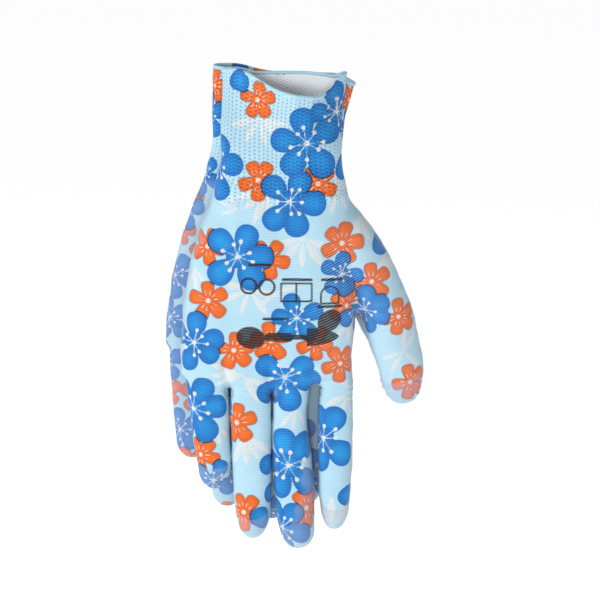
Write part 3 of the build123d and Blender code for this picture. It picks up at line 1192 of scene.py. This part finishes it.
# ---------------------------------------------------------------- materials

def linear(r, g, b):
    """An sRGB colour, 0 to 255, as the shader wants it."""
    out = []
    for c in (r, g, b):
        c = c / 255
        out.append(c / 12.92 if c <= 0.04045 else ((c + 0.055) / 1.055) ** 2.4)
    return (*out, 1.0)


class Shader:
    """Short names for the nodes that the materials are made of."""

    def __init__(self, name):
        self.material = bpy.data.materials.new(name)
        self.material.use_nodes = True
        self.nodes = self.material.node_tree.nodes
        self.links = self.material.node_tree.links
        self.surface = self.nodes["Principled BSDF"]

    def feed(self, socket, value):
        if isinstance(value, bpy.types.NodeSocket):
            self.links.new(value, socket)
        else:
            socket.default_value = value

    def fact(self, name):
        node = self.nodes.new("ShaderNodeAttribute")
        node.attribute_name = name
        return node.outputs["Fac"]

    def math(self, operation, *values, clamp=False):
        node = self.nodes.new("ShaderNodeMath")
        node.operation = operation
        node.use_clamp = clamp
        for socket, value in zip(node.inputs, values):
            self.feed(socket, value)
        return node.outputs[0]

    def times(self, a, b):
        return self.math("MULTIPLY", a, b)

    def scaled(self, value, factor, plus):
        return self.math("MULTIPLY_ADD", value, factor, plus)

    def ramp(self, value, factor, plus):
        """The same, kept between 0 and 1."""
        return self.math("MULTIPLY_ADD", value, factor, plus, clamp=True)

    def mix(self, share, a, b, kind="MIX"):
        node = self.nodes.new("ShaderNodeMix")
        node.data_type = "RGBA"
        node.blend_type = kind
        for name, value in (("Factor", share), ("A", a), ("B", b)):
            self.feed(node.inputs[name], value)
        return node.outputs["Result"]

    def darken(self, share, colour, tint):
        """The colour multiplied by a tint, where share is 1."""
        return self.mix(share, colour, tint, "MULTIPLY")

    def inside(self, distance, soft=0.45, shift=0.0):
        """1 where the distance is below shift, 0 above it, over a soft edge."""
        scaled = self.math("DIVIDE", self.math("SUBTRACT", shift, distance), soft)
        return self.math("ADD", scaled, 0.5, clamp=True)

    def wave(self, value, period, phase=0.0):
        """A sine of value, from -1 to 1."""
        turned = self.math("MULTIPLY_ADD", value, 2 * pi / period, phase)
        return self.math("SINE", turned)

    def noise(self, scale, detail=2.0, where=None):
        node = self.nodes.new("ShaderNodeTexNoise")
        node.inputs["Scale"].default_value = scale
        node.inputs["Detail"].default_value = detail
        if where is not None:
            self.links.new(where, node.inputs["Vector"])
        return node.outputs["Fac"]

    def place(self):
        node = self.nodes.new("ShaderNodeTexCoord")
        return node.outputs["Object"]

    def bump(self, height, distance, strength=1.0):
        node = self.nodes.new("ShaderNodeBump")
        node.inputs["Strength"].default_value = strength
        node.inputs["Distance"].default_value = distance
        self.links.new(height, node.inputs["Height"])
        self.links.new(node.outputs["Normal"], self.surface.inputs["Normal"])


GROUND = linear(160, 195, 211)
LEAF = linear(196, 200, 201)
ORANGE = linear(214, 98, 26)
ORANGE_DEEP = linear(196, 78, 16)
ORANGE_EDGE = linear(96, 70, 32)
BLUE = linear(24, 135, 202)
BLUE_DEEP = linear(10, 92, 164)
BLUE_SEAM = linear(10, 68, 136)
INK = linear(20, 28, 42)
THREAD = linear(198, 203, 206)
BLACK = linear(26, 23, 23)
HAZE = linear(140, 149, 168)
# painted shade: the tint that darkens the rib's dimples
DIMPLE_SHADE_TINT = (0.40, 0.50, 0.60, 1.0)
# painted shade: the tint that darkens the grooves between the plain knit's courses
GROOVE_SHADE_TINT = (0.89, 0.91, 0.93, 1.0)


def knit_pattern(s):
    """The rib's columns, its dimples (painted shade and bump) and glints (painted highlights), and the plain
    knit's courses.
    """
    across, height = s.fact("across"), s.fact("height")
    courses = s.wave(s.fact("course"), COURSE_PITCH)
    columns = s.wave(across, COLUMN_PITCH)
    shifted = s.scaled(s.wave(across, 2 * COLUMN_PITCH), 0.45, height)
    rows = s.wave(shifted, ROW_PITCH)
    in_column = s.ramp(columns, 1.4, -0.3)
    dimples = s.times(in_column, s.ramp(rows, 1.6, -0.3))
    glints = s.times(in_column, s.ramp(rows, -3.0, -1.9))
    return courses, columns, dimples, glints


def printed_skin(name, relief):
    """Printed knit, dipped where the dip attribute says so; relief is its depth in metres."""
    s = Shader(name)
    courses, columns, dimples, glints = knit_pattern(s)
    rib, dip = s.fact("rib"), s.fact("dip")
    grain = s.noise(420.0, 2.0, s.place())
    blotch = s.noise(46.0, 3.0, s.place())

    # Leaves, then orange flowers with a thin rim and a dark line where blue overlaps them.
    colour = s.mix(s.inside(s.fact("leaf")), GROUND, LEAF)
    orange, blue = s.fact("orange"), s.fact("blue")
    orange_colour = s.mix(s.inside(orange, 2.2, -0.9), ORANGE_DEEP, ORANGE)
    orange_rim = s.times(s.inside(orange, 0.3, 0.35), 0.75)
    colour = s.mix(orange_rim, colour, ORANGE_EDGE)
    colour = s.mix(s.inside(orange, 0.4, 0.05), colour, orange_colour)
    ink_line = s.times(s.inside(orange, 0.6, 0.35), s.inside(blue, 0.4, 0.55))
    colour = s.mix(ink_line, colour, INK)
    # Blue flowers, unevenly lighter towards the middle of each petal, with seams between petals.
    depth = s.inside(blue, 5.0, -2.2)
    patchy = s.ramp(blotch, 3.0, -1.0)
    deep = s.times(depth, s.scaled(patchy, 0.55, 0.45))
    blue_colour = s.mix(deep, BLUE_DEEP, BLUE)
    seam = s.times(s.inside(s.fact("seam"), 0.5, 0.25), 0.55)
    blue_colour = s.mix(seam, blue_colour, BLUE_SEAM)
    colour = s.mix(s.inside(blue, 0.4), colour, blue_colour)
    # Stamens and petal marks, then the black shapes.
    colour = s.mix(s.inside(s.fact("line"), 0.32), colour, LEAF)
    black = s.times(s.inside(s.fact("black")), s.scaled(courses, -0.06, 0.92))
    colour = s.mix(black, colour, BLACK)

    # Along the edge of the flat glove the print misses; the rib's dimples get painted shade and its glints
    # painted highlights.
    unprinted = s.times(s.inside(s.fact("fold"), 0.9, 0.5), 0.6)
    colour = s.mix(unprinted, colour, THREAD)
    # painted shade in the rib's dimples
    colour = s.darken(s.times(dimples, rib), colour, DIMPLE_SHADE_TINT)
    # painted highlights: the rib's glints, lightened towards thread colour
    colour = s.mix(s.times(s.times(glints, rib), 0.16), colour, THREAD)
    # The plain knit: painted shade in the grooves between courses, and pale thread where it is stretched
    # open.
    plain = s.math("SUBTRACT", 1.0, rib, clamp=True)
    groove = s.ramp(courses, -1.2, -0.2)
    # painted shade in the grooves between courses
    colour = s.darken(s.times(groove, plain), colour, GROOVE_SHADE_TINT)
    ridge = s.ramp(courses, 2.4, -1.3)
    opened = s.scaled(s.fact("stretch"), 0.36, 0.06)
    broken = s.ramp(s.noise(900.0, 1.0, s.place()), 1.6, -0.1)
    thread = s.times(s.times(ridge, plain), s.times(opened, broken))
    thread = s.times(thread, s.scaled(black, -0.6, 1.0))
    colour = s.mix(thread, colour, THREAD)
    # The clear dip is milky and smoother.
    haze = s.times(dip, s.scaled(groove, 0.12, 0.27))
    colour = s.mix(haze, colour, HAZE)
    s.links.new(colour, s.surface.inputs["Base Color"])

    rough = s.scaled(dip, -0.34, 0.86)
    s.links.new(s.scaled(grain, 0.08, rough), s.surface.inputs["Roughness"])
    s.surface.inputs["Specular IOR Level"].default_value = 0.35
    s.surface.inputs["Sheen Weight"].default_value = 0.08
    s.surface.inputs["Sheen Roughness"].default_value = 0.5
    rib_height = s.times(rib, s.math("SUBTRACT", s.times(columns, -0.3), dimples))
    plain_height = s.times(plain, s.times(courses, 0.16))
    height = s.math("ADD", rib_height, plain_height)
    height = s.scaled(grain, 0.5, height)
    s.bump(height, relief, 0.8)
    return s.material


def lining_material():
    """The unprinted inside of the rib knit."""
    s = Shader("cuff_inside_knit")
    across, height = s.fact("across"), s.fact("height")
    column = s.wave(across, 2.1)
    course = s.wave(height, 1.4)
    pattern = s.times(column, course)
    colour = s.mix(s.scaled(pattern, 0.25, 0.5), linear(222, 227, 230), linear(238, 241, 242))
    blotch = s.noise(60.0, 2.0, s.place())
    colour = s.mix(s.times(blotch, 0.25), colour, linear(204, 214, 226))
    s.links.new(colour, s.surface.inputs["Base Color"])
    s.surface.inputs["Roughness"].default_value = 0.9
    s.surface.inputs["Sheen Weight"].default_value = 0.15
    s.bump(pattern, 0.0002, 0.8)
    return s.material


def elastic_material():
    s = Shader("elastic_yarn_cover")
    twist = s.noise(900.0, 2.0, s.place())
    colour = s.mix(twist, linear(205, 210, 214), linear(228, 231, 233))
    s.links.new(colour, s.surface.inputs["Base Color"])
    s.surface.inputs["Roughness"].default_value = 0.8
    s.bump(twist, 0.0001, 0.6)
    return s.material


def make_materials():
    return {
        "skin": printed_skin("printed_knit_and_dip", 0.00024),
        "hem": printed_skin("overlock_thread_print", 0.0001),
        "lining": lining_material(),
        "elastic": elastic_material(),
    }


# ---------------------------------------------------------------- stage

def add_floor():
    """A pale floor, well below the hanging gloves."""
    s = Shader("studio_floor")
    tone = s.noise(2.0, 1.0)
    colour = s.mix(tone, (0.975, 0.975, 0.975, 1), (0.985, 0.985, 0.985, 1))
    s.links.new(colour, s.surface.inputs["Base Color"])
    s.surface.inputs["Roughness"].default_value = 0.9
    s.surface.inputs["Emission Color"].default_value = (1, 1, 1, 1)
    s.surface.inputs["Emission Strength"].default_value = 0.46
    mesh = bpy.data.meshes.new("floor")
    side, z = 40.0, -0.75
    corners = [(-side, -side, z), (side, -side, z), (side, side, z), (-side, side, z)]
    mesh.from_pydata(corners, [], [(0, 1, 2, 3)])
    floor = bpy.data.objects.new("floor", mesh)
    floor.data.materials.append(s.material)
    bpy.context.collection.objects.link(floor)


def add_area_light(name, place, target, size, power):
    light = bpy.data.lights.new(name, "AREA")
    light.shape = "DISK"
    light.size = size
    light.energy = power
    lamp = bpy.data.objects.new(name, light)
    lamp.location = place
    lamp.rotation_euler = (Vector(target) - Vector(place)).to_track_quat("-Z", "Y").to_euler()
    bpy.context.collection.objects.link(lamp)


WORLD_STRENGTH = 0.52


def add_lights():
    world = bpy.data.worlds.new("studio")
    world.use_nodes = True
    world.node_tree.nodes["Background"].inputs["Color"].default_value = (1, 1, 1, 1)
    world.node_tree.nodes["Background"].inputs["Strength"].default_value = WORLD_STRENGTH
    bpy.context.scene.world = world
    aim = (0, 0, -0.11)
    add_area_light("key", (-1.6, -0.8, 0.6), aim, 0.6, 19)
    add_area_light("front", (-0.1, -1.75, 0.0), aim, 0.4, 10)
    add_area_light("back", (0.3, 1.6, 0.6), aim, 1.4, 4)


CAMERA_ELEVATION = 14.0
CAMERA_DISTANCE = 1.60
FIELD = 0.300             # width of the view at the gloves
VIEW_CENTRE = (0.008, 0.0, -0.1110)


def add_camera():
    data = bpy.data.cameras.new("camera")
    data.sensor_width = 36.0
    data.lens = 36.0 * CAMERA_DISTANCE / FIELD
    data.clip_end = 100.0
    camera = bpy.data.objects.new("camera", data)
    e = radians(CAMERA_ELEVATION)
    centre = Vector(VIEW_CENTRE)
    camera.location = centre + Vector((0, -cos(e), sin(e))) * CAMERA_DISTANCE
    camera.rotation_euler = (centre - camera.location).to_track_quat("-Z", "Y").to_euler()
    bpy.context.collection.objects.link(camera)
    bpy.context.scene.camera = camera


bpy.context.scene.view_settings.view_transform = "Standard"
add_camera()
add_floor()
add_lights()
materials = make_materials()
build_glove(RIGHT, materials)
build_glove(LEFT, materials)

bpy.context.view_layer.update()
